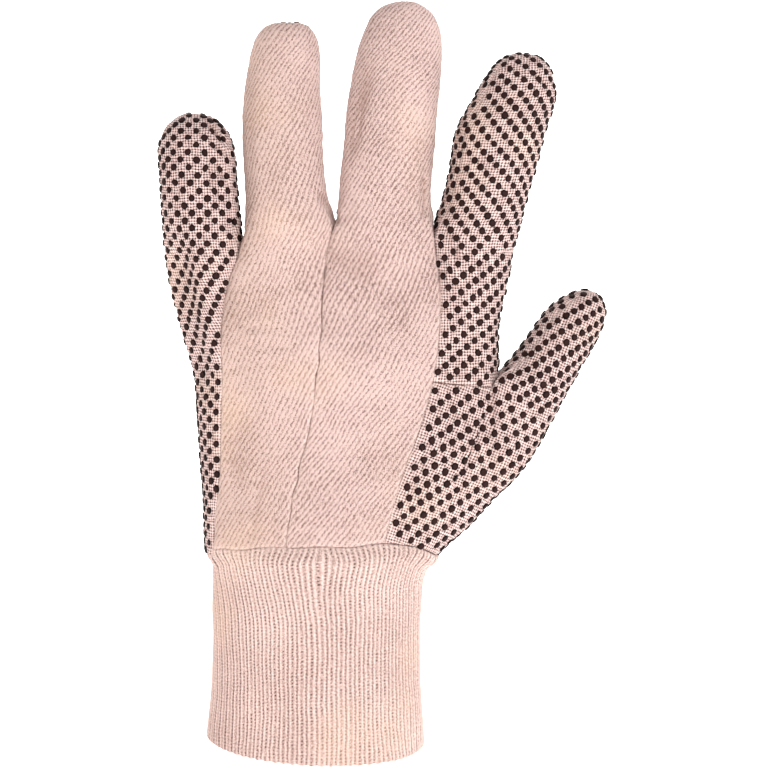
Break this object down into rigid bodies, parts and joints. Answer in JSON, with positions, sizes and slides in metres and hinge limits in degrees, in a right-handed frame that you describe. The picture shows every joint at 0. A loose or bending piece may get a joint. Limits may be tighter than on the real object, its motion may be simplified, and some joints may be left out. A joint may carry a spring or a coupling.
{
  "type": "pvc dotted work glove",
  "caption": "Left-hand cotton work glove with a drill back, dotted canvas palm and thumb and a rib-knit wrist, shaped as worn.",
  "frame": {"origin": "centre of the cuff's open end, at the height of the rim's lowest point", "axes": "+Z along the hand towards the fingertips, +X towards the thumb, -Y out of the back of the hand"},
  "size_m": [0.1547, 0.0492, 0.2615],
  "materials": {
    "rib_knit": "matt rib-knit cotton",
    "dotted_canvas": "matt plain-weave cotton canvas with pvc dots",
    "drill": "matt cotton drill, brushed"
  },
  "bodies": {
    "root": {"cuff": "rib_knit", "palm": "dotted_canvas", "back_ring": "drill", "back_middle": "drill", "thumb": "dotted_canvas"}
  },
  "joints": []
}
